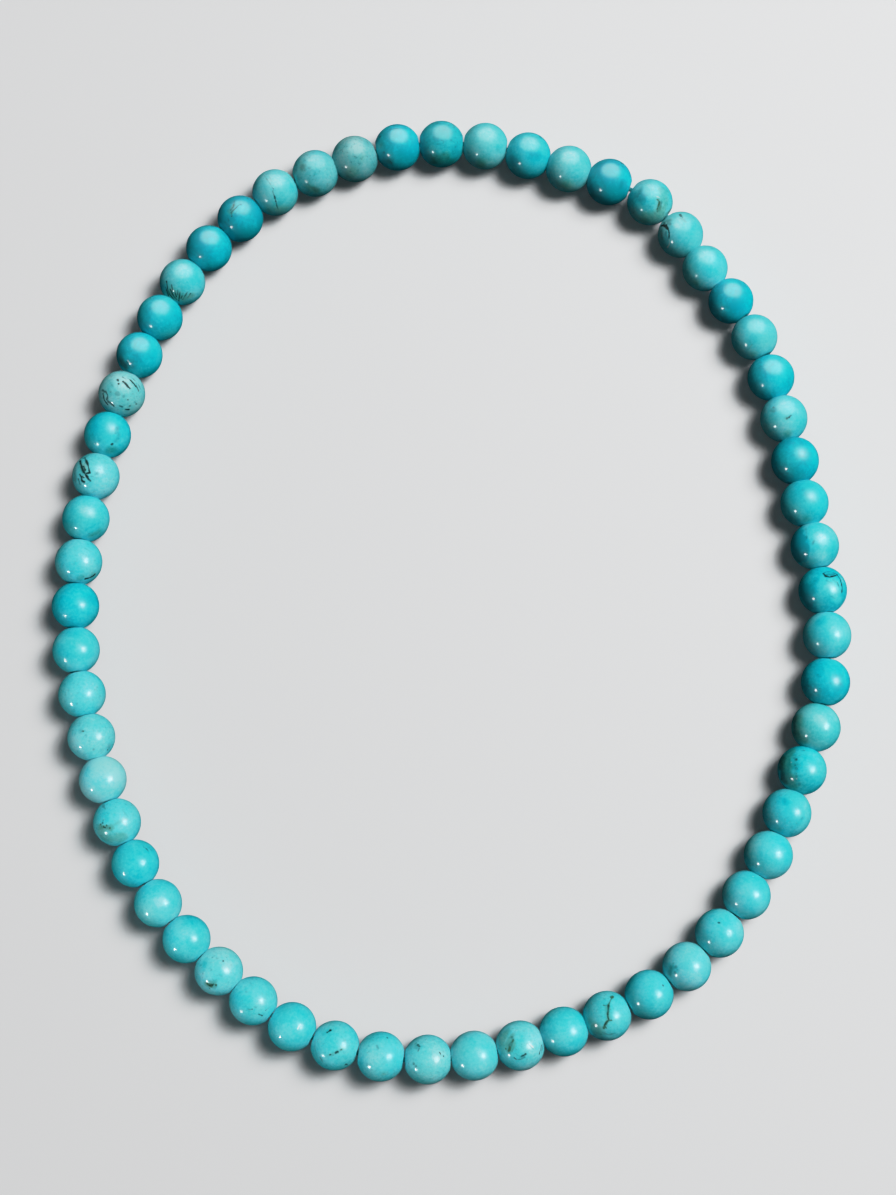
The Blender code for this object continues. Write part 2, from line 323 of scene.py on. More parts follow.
# The marks by bead: kind, half width in mm, and places in mm to the right of and up from the bead's middle,
# as the eye sees them. Beside the stones' own marks they hold painted shade, painted light and painted
# glints, put where shade, light and the small lamp's glint fall on each bead.
BEAD_MARKS = {
    1: [
        ("murk_and_shade", 0.5, [(-1.6, -2.2)]), ("faint", 0.25, [(-1.5, -2.1)]), ("faint", 0.24, [(-3.0, 1.75)]),
        ("vein", 0.14, [(-1.3, -2.3), (-1.05, -2.7)]), ("faint", 0.16, [(-2.3, -0.9)]),
        ("moss_and_shade", 0.5, [(-3.0, 0.4)]),
    ],
    2: [
        ("moss_and_shade", 1.1, [(-1.2, -2.7), (1.0, -2.7)]), ("blot", 0.5, [(-1.7, -2.4)]),
        ("blot", 0.5, [(1.0, -2.5)]), ("blot", 0.4, [(2.3, -1.2)]), ("faint", 0.16, [(1.7, 0.7)]),
        ("faint", 0.2, [(2.4, -0.4)]), ("faint", 0.18, [(1.9, -1.4)]), ("faint", 0.18, [(0.4, -1.7)]),
        ("faint", 0.18, [(-0.4, -2.4)]), ("faint", 0.14, [(1.2, -2.1)]), ("faint", 0.14, [(2.7, 0.4)]),
        ("faint", 0.14, [(-1.8, -1.8)]),
    ],
    3: [("shade", 0.5, [(2.1, -0.3)]), ("blot", 0.3, [(2.3, -0.6)]), ("moss_and_shade", 0.8, [(-0.6, -2.8)])],
    4: [
        ("blot", 0.45, [(-1.7, -1.2)]), ("shade", 0.7, [(-2.6, -0.6)]),
        ("shade", 0.6, [(0.6, 0.2), (1.6, 0.4)]),
    ],
    5: [("moss_and_shade", 0.9, [(-0.4, -2.9)]), ("faint", 0.07, [(1.4, -2.4), (2.3, -1.6)])],
    6: [("shade", 0.6, [(2.2, -0.9)]), ("blot", 0.35, [(1.6, -1.4), (2.3, -0.4)])],
    7: [
        ("shade", 1.5, [(-2.4, 1.4), (-0.7, -0.2)]), ("shade", 0.6, [(-1.4, 0.6)]),
        ("moss_and_shade", 1.0, [(2.6, 1.2), (2.5, -0.8), (1.0, -2.6), (-1.0, -2.9)]),
        ("stain", 0.4, [(1.55, 0.3), (1.45, -1.1)]), ("olive", 0.1, [(1.25, 0.4), (1.6, 0.1)]),
        ("olive", 0.13, [(1.6, -0.1), (1.5, -0.6), (1.25, -1.2)]),
        ("vein", 0.06, [(1.6, 0.0), (1.5, -0.5)]), ("faint", 0.18, [(2.0, 0.0), (1.7, -1.0)]),
        ("faint", 0.12, [(1.3, -1.1), (1.2, -1.7)]), ("chalk_and_glint", 0.05, [(1.2, 0.9), (1.7, 0.7)]),
        ("faint", 0.14, [(0.5, -1.5), (0.9, -2.0)]), ("faint", 0.28, [(-2.2, 1.1), (-1.7, 1.8)]),
        ("vein", 0.1, [(-2.0, 1.3), (-1.7, 1.6)]), ("blot", 0.4, [(-3.0, 0.4), (-2.4, 1.4), (-1.6, 2.4)]),
    ],
    8: [
        ("murk_and_shade", 0.2, [(-3.3, 0.8), (-3.2, -0.4)]), ("murk_and_shade", 0.2, [(-2.6, 2.4), (-1.7, 2.6)]),
        ("ink", 0.25, [(-3.3, 1.7), (-2.9, 1.75), (-2.5, 1.55), (-2.2, 1.15)]),
        ("vein", 0.12, [(-2.9, 2.2), (-2.3, 1.9)]),
        ("ink", 0.15, [(-2.2, 1.15), (-1.95, 0.5), (-1.95, -0.1), (-2.0, -0.5)]),
        ("faint", 0.2, [(-2.5, 0.6), (-2.3, -0.8)]),
        ("chalk_and_glint", 0.1, [(-1.9, -0.8), (-1.95, -1.6), (-2.3, -2.1)]),
        ("faint", 0.28, [(-1.7, 1.9), (-2.2, 2.4)]), ("murk_and_shade", 0.15, [(0.2, 3.3), (0.5, 2.6)]),
        ("vein", 0.22, [(0.0, 3.5), (0.25, 3.15)]), ("ink", 0.13, [(0.45, 2.9)]),
        ("faint", 0.3, [(0.4, 2.8), (0.95, 2.2)]), ("faint", 0.16, [(0.4, 1.7)]),
        ("bloom_and_light", 0.5, [(-0.5, 1.5)]),
    ],
    9: [("moss_and_shade", 0.8, [(-1.6, -2.4)])],
    11: [("faint", 0.07, [(-1.0, -2.0), (-0.4, -1.2)]), ("moss_and_shade", 0.7, [(-0.4, -2.9)])],
    13: [
        ("pit", 0.16, [(0.45, 0.1), (0.85, 0.15)]), ("vein", 0.1, [(0.5, 0.0), (1.3, 0.5)]),
        ("stain", 0.3, [(0.5, 0.1)]), ("faint", 0.22, [(-1.6, 1.9)]), ("vein", 0.1, [(-1.7, 2.0)]),
        ("faint", 0.14, [(-2.2, 1.4), (-1.6, 1.2)]), ("blot", 0.4, [(-1.8, 1.5)]),
        ("moss_and_shade", 0.6, [(0.6, -2.6)]),
    ],
    15: [("moss_and_shade", 1.0, [(0.2, -2.4)])],
    16: [
        ("veil", 1.6, [(-2.9, 2.6), (-2.9, 0.0), (-2.6, -1.8)]), ("bloom_and_light", 1.0, [(1.2, 1.4), (1.4, -1.0)]),
        ("faint", 0.08, [(-1.35, 2.9), (-1.2, 1.4)]), ("faint", 0.14, [(-0.3, 0.4), (-0.1, 0.9)]),
        ("faint", 0.06, [(-1.5, -0.6), (-1.2, -1.6)]), ("faint", 0.1, [(0.3, 2.2)]),
    ],
    17: [
        ("shade", 1.3, [(-2.5, 1.8), (-2.5, -1.2)]), ("bloom_and_light", 0.9, [(1.8, 0.6), (2.2, -1.4)]),
        ("faint", 0.26, [(0.6, 2.65), (1.2, 2.6), (1.9, 2.65)]),
        ("ink", 0.07, [(0.15, 2.8), (0.6, 3.0), (1.2, 3.05), (1.8, 2.9), (2.5, 2.55)]),
        ("ink", 0.15, [(0.15, 2.75), (0.5, 2.4), (1.2, 2.15), (1.8, 2.3), (2.4, 2.5)]),
        ("ink", 0.1, [(2.5, 2.4), (2.9, 1.7), (3.1, 1.0), (3.15, 0.2), (3.05, -0.5)]),
        ("vein", 0.08, [(1.6, 1.7), (2.4, 1.2), (2.7, 0.4)]), ("chalk_and_glint", 0.05, [(2.9, 2.3), (3.4, 1.2)]),
        ("faint", 0.06, [(0.6, 1.6), (1.5, 1.2)]), ("faint", 0.06, [(1.2, -0.9), (2.0, -1.4)]),
    ],
    # The paler patch right of the middle is painted light
    18: [("shade", 0.7, [(-0.6, 2.4)]), ("bloom_and_light", 0.9, [(0.9, 0.8)])],
    # The paler strip along the right rim is a painted highlight
    19: [("bloom_and_light", 0.35, [(2.9, 1.6), (3.2, 0.2), (2.9, -1.6), (2.0, -2.6)])],
    20: [
        # The dark green and the greener band down the left are painted shade, the paler patch painted light
        ("murk_and_shade", 0.6, [(-3.4, 1.2), (-3.5, -1.0)]), ("moss_and_shade", 1.2, [(-2.7, 1.4), (-2.8, -1.4)]),
        ("bloom_and_light", 0.9, [(1.0, 1.2)]),
    ],
    21: [
        # The dark green and the greener band down the left are painted shade; the paler patch is painted
        # light
        ("murk_and_shade", 0.7, [(-3.3, 1.8), (-3.3, 0.0), (-3.0, -1.6)]),
        ("moss_and_shade", 1.2, [(-2.4, 2.4), (-2.2, 0.0), (-1.8, -2.2)]), ("bloom_and_light", 0.8, [(1.2, 0.5)]),
        ("blot", 0.25, [(-1.1, 2.2), (-1.2, 0.5), (-1.0, -1.6), (-0.4, -2.4)]),
        ("vein", 0.2, [(-0.9, 1.7)]), ("vein", 0.14, [(-1.1, 0.8)]), ("faint", 0.26, [(-0.9, 0.3)]),
        ("vein", 0.17, [(-0.9, -0.5)]), ("faint", 0.24, [(-0.9, -1.0)]), ("faint", 0.26, [(-0.5, -2.3)]),
        ("faint", 0.3, [(0.4, 3.2)]), ("faint", 0.2, [(-0.4, 2.4)]), ("faint", 0.2, [(-1.6, -2.4)]),
        # The two white spots low at the left are painted glints
        ("chalk_and_glint", 0.06, [(-1.7, 1.3)]), ("chalk_and_glint", 0.09, [(-1.5, -1.6)]), ("chalk_and_glint", 0.07, [(-0.9, -1.4)]),
    ],
    22: [
        # The paler strip along the right rim is a painted highlight, the greener patch low at the left
        # painted shade
        ("shade", 0.6, [(-0.4, 2.2)]), ("bloom_and_light", 0.3, [(2.8, 1.4), (3.2, 0.0), (2.7, -1.8), (1.4, -2.8)]),
        ("faint", 0.12, [(2.4, -1.0)]), ("faint", 0.12, [(1.6, -2.2)]), ("moss_and_shade", 0.6, [(-1.4, -2.6)]),
    ],
    24: [("chalk_and_glint", 0.11, [(1.15, 3.0)])],
    25: [("pit", 0.19, [(-0.05, 1.65)])],
    26: [
        # The dark green and the deeper blue at the left are painted shade
        ("murk_and_shade", 0.3, [(-2.5, -0.2), (-2.8, -1.2)]), ("faint", 0.18, [(-1.8, -0.1)]),
        ("faint", 0.16, [(-2.1, 0.5)]), ("faint", 0.14, [(-1.9, -1.0)]), ("shade", 0.5, [(-2.2, -0.6)]),
        ("faint", 0.1, [(-1.5, -0.6)]),
    ],
    27: [("pit", 0.15, [(2.3, 1.5)]), ("faint", 0.13, [(2.8, 2.1)])],
    28: [
        ("moss_and_shade", 0.8, [(-2.9, -0.8), (-1.6, -2.8)]), ("stain", 0.25, [(0.1, 1.4), (0.1, -0.6)]),
        ("olive", 0.22, [(0.95, 3.1), (0.85, 2.9)]),
        ("olive", 0.12, [(0.85, 2.9), (0.45, 2.1), (0.2, 1.65)]),
        ("olive", 0.16, [(0.2, 1.65), (0.2, 0.9), (0.1, 0.3), (0.15, -0.3), (0.3, -0.75)]),
        ("ink", 0.08, [(0.25, 1.7), (0.2, 0.9), (0.1, 0.3), (0.15, -0.3), (0.3, -0.7)]),
        ("olive", 0.1, [(-0.55, 1.65), (0.1, 1.55)]), ("olive", 0.13, [(0.3, -0.72), (0.75, -0.75)]),
        ("olive", 0.16, [(0.25, -0.75), (-0.1, -1.0), (-0.4, -1.5), (-0.5, -2.0)]),
        ("ink", 0.07, [(0.2, -0.8), (-0.1, -1.05), (-0.4, -1.5)]),
        ("olive", 0.09, [(-0.4, -1.6), (-0.1, -2.0)]), ("faint", 0.1, [(0.6, 1.0)]),
        ("faint", 0.1, [(-0.9, -2.6), (0.2, -3.0), (1.2, -2.8)]),
    ],
    29: [("shade", 0.5, [(-2.4, 2.0)])],
    30: [
        ("moss_and_shade", 0.8, [(-2.4, 1.8), (-3.0, 0.2)]), ("stain", 0.5, [(-1.8, -0.7), (-1.3, 0.9)]),
        ("olive", 0.22, [(-1.9, -0.8), (-1.7, -0.35)]), ("olive", 0.1, [(-1.4, 0.3), (-1.1, 0.9)]),
        ("olive", 0.12, [(-2.3, -0.5)]), ("olive", 0.14, [(-1.3, -0.9)]),
        ("faint", 0.2, [(-1.2, 0.9), (-1.6, 0.0)]),
        ("vein", 0.2, [(0.2, -1.75), (0.5, -1.55), (0.9, -1.3)]), ("ink", 0.09, [(0.3, -1.7), (0.8, -1.4)]),
        ("vein", 0.09, [(-1.0, -1.9), (-0.6, -2.2), (0.1, -2.15), (0.7, -1.8)]),
        ("chalk_and_glint", 0.05, [(1.5, 0.3), (2.1, -0.3)]), ("faint", 0.08, [(1.6, 0.0), (2.2, -0.6)]),
        ("faint", 0.16, [(-1.3, 1.3)]), ("faint", 0.12, [(-0.6, -0.6)]), ("faint", 0.12, [(0.2, 0.2)]),
        ("chip", 0.3, [(3.65, -0.1), (3.5, -1.1)]), ("ink", 0.1, [(3.4, 0.1), (3.3, -0.6), (3.1, -1.3)]),
    ],
    # The paler patch above and right of the middle is painted light
    31: [("bloom_and_light", 0.8, [(0.6, 0.9)])],
    32: [
        ("blot", 0.35, [(-1.7, 2.2), (-1.5, 1.6)]), ("vein", 0.14, [(-1.7, 2.3), (-1.3, 2.0)]),
        ("faint", 0.2, [(-2.0, 2.5)]), ("faint", 0.24, [(-2.3, -0.7)]),
        ("vein", 0.09, [(1.9, 1.1), (2.1, 0.7)]), ("faint", 0.12, [(2.5, 1.2)]),
        ("pit", 0.14, [(2.6, 0.5)]), ("faint", 0.14, [(-1.9, -1.1)]),
        ("vein", 0.08, [(-1.4, 1.7), (-1.6, 1.3)]),
    ],
    33: [
        ("vein", 0.12, [(1.05, 3.0)]), ("vein", 0.12, [(-0.1, -2.4)]), ("faint", 0.12, [(0.5, -2.7)]),
        ("faint", 0.12, [(-0.6, 1.7), (-0.4, 1.3)]), ("faint", 0.12, [(-2.2, -1.4)]),
        ("faint", 0.1, [(1.9, -1.9)]), ("moss_and_shade", 0.3, [(0.4, -2.8)]),
    ],
    34: [
        ("ink", 0.16, [(-1.25, 2.1), (-0.8, 2.4)]), ("pit", 0.15, [(-0.9, -1.5), (-0.75, -1.45)]),
        ("stain", 0.12, [(-1.2, -1.65), (0.3, -1.1), (1.2, -0.6)]),
        ("pit", 0.13, [(0.1, -1.2), (0.5, -1.0)]), ("olive", 0.1, [(0.85, -0.75), (1.1, -0.65)]),
        ("faint", 0.1, [(-0.3, -1.6)]), ("faint", 0.12, [(3.0, -0.55)]),
        ("vein", 0.13, [(1.75, -3.0), (2.05, -3.15)]), ("faint", 0.18, [(-2.2, -2.2)]),
        ("vein", 0.06, [(-2.4, -1.9), (-2.0, -2.6)]),
        # The white spot low at the left is a painted glint
        ("faint", 0.05, [(-3.2, 1.0), (-3.3, -0.4), (-3.0, -1.5)]), ("chalk_and_glint", 0.08, [(-2.2, -1.6)]),
    ],
    35: [("chalk_and_glint", 0.05, [(0.9, -0.4), (1.1, 0.1)]), ("chalk_and_glint", 0.05, [(1.3, 0.3)])],
    36: [
        ("vein", 0.09, [(-0.9, -1.3), (-0.5, -1.45), (-0.1, -1.35)]),
        ("faint", 0.09, [(0.2, -1.0), (0.5, -1.1)]), ("vein", 0.09, [(0.9, -2.2), (1.5, -2.4)]),
        ("vein", 0.06, [(2.0, -1.6), (2.5, -1.2)]), ("faint", 0.09, [(1.7, -2.1)]),
        ("faint", 0.1, [(-1.6, -1.9)]),
    ],
    37: [
        # The paler patch right of the middle is painted light
        ("shade", 0.5, [(-2.4, 1.2)]), ("bloom_and_light", 0.8, [(1.2, 0.8)]),
        ("stain", 0.55, [(-1.6, -2.1), (-0.8, -2.2)]), ("olive", 0.24, [(-1.95, -1.95), (-1.7, -2.2)]),
        ("olive", 0.36, [(-1.35, -2.35)]), ("olive", 0.3, [(-0.85, -2.1)]), ("olive", 0.22, [(-1.5, -2.8)]),
        ("olive", 0.15, [(-0.4, -2.3)]), ("ink", 0.13, [(-1.5, -2.4), (-1.0, -2.3)]),
        ("vein", 0.14, [(0.7, 1.6)]), ("faint", 0.12, [(-0.4, 2.0), (-0.1, 2.05)]),
        ("faint", 0.12, [(-1.1, 2.2)]), ("faint", 0.12, [(1.2, 2.2)]), ("faint", 0.14, [(-1.2, 0.2)]),
        ("faint", 0.1, [(-2.6, -0.4)]),
    ],
    # The paler patches above the middle of this bead and the next are painted light
    38: [("bloom_and_light", 0.7, [(0.5, 0.8)])],
    39: [("bloom_and_light", 0.7, [(0.3, 0.6)])],
    40: [("vein", 0.09, [(1.3, 2.7), (1.8, 2.4), (2.1, 2.0)]), ("faint", 0.1, [(2.2, 2.6), (2.6, 2.1)])],
    41: [
        ("moss_and_shade", 1.0, [(-2.4, -1.6), (-0.8, -2.9), (0.8, -2.8)]),
        ("faint", 0.2, [(-2.4, 2.8), (-2.0, 2.1)]), ("stain", 0.4, [(-2.5, -0.7), (-1.2, -0.9)]),
        ("olive", 0.14, [(-2.7, -0.4)]), ("olive", 0.22, [(-2.2, -0.75)]), ("olive", 0.14, [(-1.75, -0.6)]),
        ("olive", 0.18, [(-1.2, -1.0)]), ("olive", 0.1, [(-1.7, -1.15)]), ("vein", 0.11, [(-2.4, -0.2)]),
        ("ink", 0.1, [(-2.2, -0.85), (-1.9, -0.9)]), ("faint", 0.12, [(-2.3, 0.3)]),
        ("stain", 0.15, [(-2.4, -1.5), (-0.6, -0.5), (1.5, 0.6)]),
        ("faint", 0.06, [(0.8, 2.0), (1.8, 0.9)]),
    ],
    # The deeper blue at the left flank is painted shade
    42: [("shade", 0.2, [(-2.6, 1.6)]), ("faint", 0.1, [(1.2, -2.2)])],
    43: [
        ("vein", 0.18, [(-1.5, 1.05)]), ("olive", 0.14, [(-1.35, 0.95)]), ("vein", 0.12, [(2.25, 1.65)]),
        ("blot", 0.3, [(-1.7, 1.0)]), ("blot", 0.35, [(1.9, -2.1), (2.8, -1.6)]),
        ("vein", 0.13, [(2.75, -2.1)]), ("faint", 0.14, [(0.4, -2.0)]), ("faint", 0.12, [(-0.9, 0.3)]),
    ],
    44: [("faint", 0.1, [(2.5, 1.2)]), ("faint", 0.08, [(2.2, 0.8)]), ("faint", 0.14, [(-0.8, -1.6)])],
    # The paler patches above the middle of this bead and the next are painted light
    45: [("bloom_and_light", 0.8, [(0.2, 0.8)])],
    46: [("bloom_and_light", 0.7, [(0.4, 1.2)])],
    47: [
        ("ink", 0.26, [(1.25, -2.85), (1.6, -2.75)]),
        ("ink", 0.16, [(2.0, -2.6), (2.4, -2.35), (2.75, -2.05)]),
        ("vein", 0.14, [(1.5, -2.8), (2.0, -2.6)]), ("vein", 0.1, [(1.5, -3.25)]),
        ("faint", 0.12, [(2.3, -1.7)]), ("moss_and_shade", 0.5, [(0.2, -2.8), (2.6, -2.0)]),
        ("faint", 0.06, [(0.9, 2.4), (2.0, 1.8)]), ("ink", 0.1, [(0.9, -2.5)]),
    ],
    48: [
        ("moss_and_shade", 0.4, [(0.6, -3.0), (2.2, -2.2)]), ("vein", 0.16, [(1.1, -2.8)]),
        ("faint", 0.12, [(0.6, -2.5)]), ("bloom_and_light", 0.6, [(-0.4, 1.6)]),
    ],
    49: [
        ("murk_and_shade", 0.1, [(-3.5, 0.8), (-3.4, -0.8)]),
        ("bloom_and_light", 0.35, [(-2.1, 1.8), (-1.7, 0.6), (-2.1, -0.6)]),
        ("moss_and_shade", 0.4, [(-2.0, 1.8), (-1.7, 0.4)]), ("vein", 0.2, [(-2.2, 3.0)]),
        ("ink", 0.2, [(-2.75, 2.5), (-2.5, 1.6), (-2.2, 0.9), (-1.7, 0.2), (-1.3, -0.4), (-0.8, -0.85)]),
        ("ink", 0.19, [(-1.95, 3.1), (-1.6, 2.3), (-1.35, 1.7), (-1.15, 1.0), (-1.0, 0.55), (-1.6, 0.45)]),
        ("ink", 0.17, [(-2.7, 0.2), (-2.4, -0.3), (-2.3, -0.8), (-1.95, -0.95)]),
        ("ink", 0.12, [(-2.5, -0.1), (-2.0, -0.3)]), ("ink", 0.09, [(-2.1, 1.6), (-1.8, 1.0)]),
        # The two white spots low at the left are painted glints
        ("chalk_and_glint", 0.19, [(-2.15, -1.4)]), ("chalk_and_glint", 0.1, [(-1.8, -1.7)]), ("chalk_and_glint", 0.07, [(-1.9, -0.1)]),
        ("faint", 0.18, [(-0.3, 0.2), (0.2, 0.5)]), ("faint", 0.12, [(-0.9, 0.0), (-0.5, -0.1)]),
        ("vein", 0.1, [(-2.9, -0.6), (-2.6, -1.4)]),
    ],
    50: [
        ("pit", 0.15, [(0.8, -1.6)]), ("blot", 0.35, [(1.6, 1.0), (1.9, 0.2), (1.5, -0.9)]),
        ("faint", 0.18, [(1.6, 0.9)]), ("faint", 0.17, [(1.9, 0.1)]), ("faint", 0.12, [(1.3, 0.3)]),
        ("vein", 0.09, [(1.5, 1.3), (1.9, 0.7)]), ("faint", 0.12, [(1.9, -0.6)]),
        # The white streak low at the left is a painted glint
        ("faint", 0.12, [(-1.4, -1.2)]), ("chalk_and_glint", 0.08, [(-2.2, -1.6), (-1.9, -1.9)]),
        ("moss_and_shade", 0.6, [(0.6, -2.8)]),
    ],
    51: [
        ("ink", 0.17, [(-0.75, 2.4), (-0.65, 2.2)]), ("ink", 0.16, [(-0.6, 1.75)]),
        ("ink", 0.22, [(0.2, 2.1), (0.8, 1.5), (1.3, 1.0)]),
        ("ink", 0.15, [(1.4, 2.4), (2.0, 1.8), (2.6, 1.1)]), ("vein", 0.12, [(1.0, 2.7), (1.6, 2.2)]),
        ("vein", 0.13, [(2.4, 1.5), (2.8, 0.6)]), ("vein", 0.11, [(1.8, 2.7), (2.6, 2.0), (3.1, 1.0)]),
        ("vein", 0.1, [(0.0, 2.9), (0.5, 2.6)]),
        ("vein", 0.17, [(-3.3, 0.5), (-2.7, 0.3), (-2.4, -0.4), (-2.6, -1.0)]),
        ("ink", 0.16, [(-3.2, -0.1), (-2.95, -1.2), (-2.4, -1.9)]),
        ("vein", 0.14, [(-2.4, -1.2), (-1.7, -2.0)]), ("vein", 0.13, [(-1.9, -1.5), (-1.3, -2.2)]),
        ("murk_and_shade", 0.1, [(-3.1, 0.2), (-2.9, -1.4)]), ("faint", 0.34, [(-0.75, 0.0), (-0.6, -0.1)]),
        ("faint", 0.2, [(-1.9, 0.3)]), ("vein", 0.14, [(1.0, -0.9)]),
        ("vein", 0.18, [(-0.3, -2.05), (0.1, -2.2)]), ("ink", 0.18, [(0.75, -2.6), (1.2, -2.6)]),
        ("faint", 0.2, [(-0.6, -2.7)]), ("vein", 0.2, [(1.4, -2.0)]), ("faint", 0.22, [(0.2, -0.4)]),
        ("vein", 0.13, [(2.2, -1.2), (2.5, -1.6)]), ("faint", 0.16, [(-1.7, 1.5), (-1.4, 1.1)]),
        ("faint", 0.16, [(1.9, 0.1)]),
    ],
    52: [
        # The dark green low at the left and the deeper blue at the left are painted shade; the white streak
        # is a painted glint
        ("murk_and_shade", 0.6, [(-3.1, -1.2), (-2.0, -2.9)]), ("vein", 0.08, [(-2.2, -1.2), (-1.6, -2.0)]),
        ("chalk_and_glint", 0.06, [(-2.0, -1.0), (-1.6, -1.5)]), ("shade", 0.6, [(-2.8, 0.6)]),
        ("faint", 0.07, [(-1.3, -1.6), (-1.0, -2.1)]),
    ],
    54: [
        ("moss_and_shade", 1.0, [(-1.8, -2.2), (0.4, -2.7)]), ("murk_and_shade", 0.4, [(-2.4, -1.8), (-1.0, -2.9)]),
        ("ink", 0.15, [(-2.75, 0.0), (-2.6, -1.2), (-2.2, -2.2), (-1.5, -3.0)]),
        ("ink", 0.11, [(-2.1, -1.3), (-1.5, -2.4), (-0.9, -3.1)]),
        ("ink", 0.12, [(-2.95, -0.9), (-2.4, -2.4)]),
        ("ink", 0.11, [(-0.4, -1.7), (-0.5, -2.6), (-0.6, -3.3)]),
        ("vein", 0.11, [(0.1, -1.9), (-0.2, -2.9)]), ("vein", 0.1, [(0.9, -1.6), (0.5, -2.3), (0.1, -3.0)]),
        ("ink", 0.09, [(-1.3, -1.6), (-1.0, -2.6)]), ("vein", 0.1, [(1.4, -1.9), (0.9, -2.7)]),
        ("vein", 0.09, [(-1.9, -0.5), (-1.7, -1.5)]), ("vein", 0.09, [(-0.8, -1.4), (-0.8, -2.2)]),
    ],
    56: [
        ("bloom_and_light", 1.2, [(-2.0, 1.6), (-0.8, 2.2)]), ("bloom_and_light", 0.6, [(0.6, 2.2)]),
        ("vein", 0.09, [(-0.1, 2.5), (-0.7, 1.9), (-1.1, 1.5), (-1.6, 1.0), (-1.5, 0.6)]),
        ("vein", 0.08, [(-1.1, 3.0), (-1.2, 2.0), (-1.7, 1.4)]), ("faint", 0.1, [(-0.7, 2.6), (-1.0, 2.2)]),
        ("vein", 0.12, [(0.1, 2.4)]), ("vein", 0.1, [(-1.5, 0.3)]),
        ("stain", 0.4, [(-1.1, 2.6), (-1.6, 1.2)]), ("murk_and_shade", 0.1, [(-2.6, -0.7), (-2.0, -1.3)]),
        ("faint", 0.12, [(-2.3, 0.6), (-2.0, -0.4)]), ("faint", 0.1, [(-0.6, 1.2), (-1.0, 0.8)]),
    ],
    57: [
        ("vein", 0.06, [(-1.9, 2.8), (-0.9, 1.5), (-0.3, 0.6)]),
        ("vein", 0.08, [(-0.3, 0.6), (-0.4, 0.1), (-0.1, -0.7)]),
        ("ink", 0.09, [(-0.1, -0.7), (0.15, -1.5)]),
        ("ink", 0.08, [(0.15, -1.5), (0.35, -2.3), (0.6, -2.9)]),
        ("moss_and_shade", 1.0, [(-1.0, -2.8), (0.8, -2.8)]), ("faint", 0.07, [(-1.2, 2.9), (-0.6, 1.9)]),
    ],
    58: [
        ("murk_and_shade", 0.5, [(-2.3, 0.9)]), ("murk_and_shade", 0.2, [(-2.5, 1.9)]),
        ("murk_and_shade", 0.4, [(-1.0, -2.2), (0.4, -2.8)]), ("faint", 0.3, [(-1.8, 0.6)]),
        ("faint", 0.12, [(0.2, 2.6)]), ("faint", 0.22, [(-1.2, -1.8)]), ("moss_and_shade", 0.8, [(-0.4, -2.6)]),
    ],
    59: [
        ("murk_and_shade", 0.25, [(1.3, 0.2), (1.7, 0.8)]), ("faint", 0.14, [(1.2, 0.3)]),
        ("moss_and_shade", 1.2, [(-0.4, -2.6)]), ("bloom_and_light", 0.7, [(0.0, 1.8)]), ("faint", 0.14, [(-1.4, 0.2)]),
        ("faint", 0.14, [(1.4, -0.1)]),
    ],
}
MM = 0.001
# A charted line is laid in this many steps between two of its places
STEPS_PER_LEG = 12
# A mark's width drifts by this share over this length
WIDTH_DRIFT, WIDTH_DRIFT_SPAN = 0.22, 0.0022
# A mark's edge is ragged by a share of its softness, but by no more than a share of its width. Its teeth
# are as long as the first span, plus the second for each millimetre of softness
RAGGED_EDGE, RAGGED_WIDTH = 0.30, 0.35
RAGGED_SPAN, RAGGED_SPAN_PER_MM = 0.0007, 0.0012
# Where the seeds of the bead's drifts and of the marks' edges start. A bead adds its number, and a mark
# adds its bead's hundred and its place in the list
ROUND_SEED, PALE_SEED, GREEN_SEED, EDGE_SEED = 100, 200, 300, 7000
SEEDS_PER_BEAD = 100

LINE_KINDS = {"ink", "vein", "olive", "chip"}
SPOT_KINDS = {"pit", "faint", "chalk_and_glint"}
# Grid lines round a bead and along its round side: with drawn lines, with specks, and plain
GRID_LINES = {"lined": (122, 84), "specked": (80, 56), "plain": (48, 32)}
# The lines round a bead are denser at the top, where its marks are, by this many times the underside's
TOP_CROWDING = 2.2
# Grid lines along the small arc at a ground face's edge, along the face, and along the bore
CORNER_LINES, FACE_LINES, BORE_LINES = 7, 3, 6

MOTTLE_WAVES = 12


def mottle(points, size, seed):
    """Smooth random values with spread 1: a sum of sine waves along random ways, each 0.6 to 1.6 of the
    size long."""
    chance = np.random.default_rng(seed)
    ways = chance.normal(size=(MOTTLE_WAVES, 3))
    ways /= np.linalg.norm(ways, axis=1, keepdims=True) * size * chance.uniform(0.6, 1.6, (MOTTLE_WAVES, 1))
    waves = np.sin(points @ ways.T * math.tau + chance.uniform(0, math.tau, MOTTLE_WAVES))
    return waves.sum(axis=-1) / math.sqrt(MOTTLE_WAVES / 2)


def drilled_outline(radius, half, steps):
    """The closed outline that turns about the hole: the round side from face to face, a small arc to each
    flat face, the flat, a chamfer and the bore. Returns distances along the hole and from its middle line."""
    inset = half - FACE_EDGE_ROUND
    rise = math.sqrt((radius - FACE_EDGE_ROUND) ** 2 - inset**2)
    lean = math.atan2(rise, inset)
    side = np.linspace(math.pi - lean, lean, steps)
    corner = np.linspace(lean, 0, CORNER_LINES + 1)[1:]
    flat = np.linspace(rise, HOLE_RADIUS + HOLE_CHAMFER, FACE_LINES + 1)[1:]
    bore = np.linspace(half - HOLE_CHAMFER, -(half - HOLE_CHAMFER), BORE_LINES)
    end_x = np.concatenate([inset + FACE_EDGE_ROUND * np.cos(corner), np.full(FACE_LINES, half)])
    end_r = np.concatenate([rise + FACE_EDGE_ROUND * np.sin(corner), flat])
    x = np.concatenate([radius * np.cos(side), end_x, bore, -end_x[::-1]])
    r = np.concatenate([radius * np.sin(side), end_r, np.full(BORE_LINES, HOLE_RADIUS), end_r[::-1]])
    return x, r


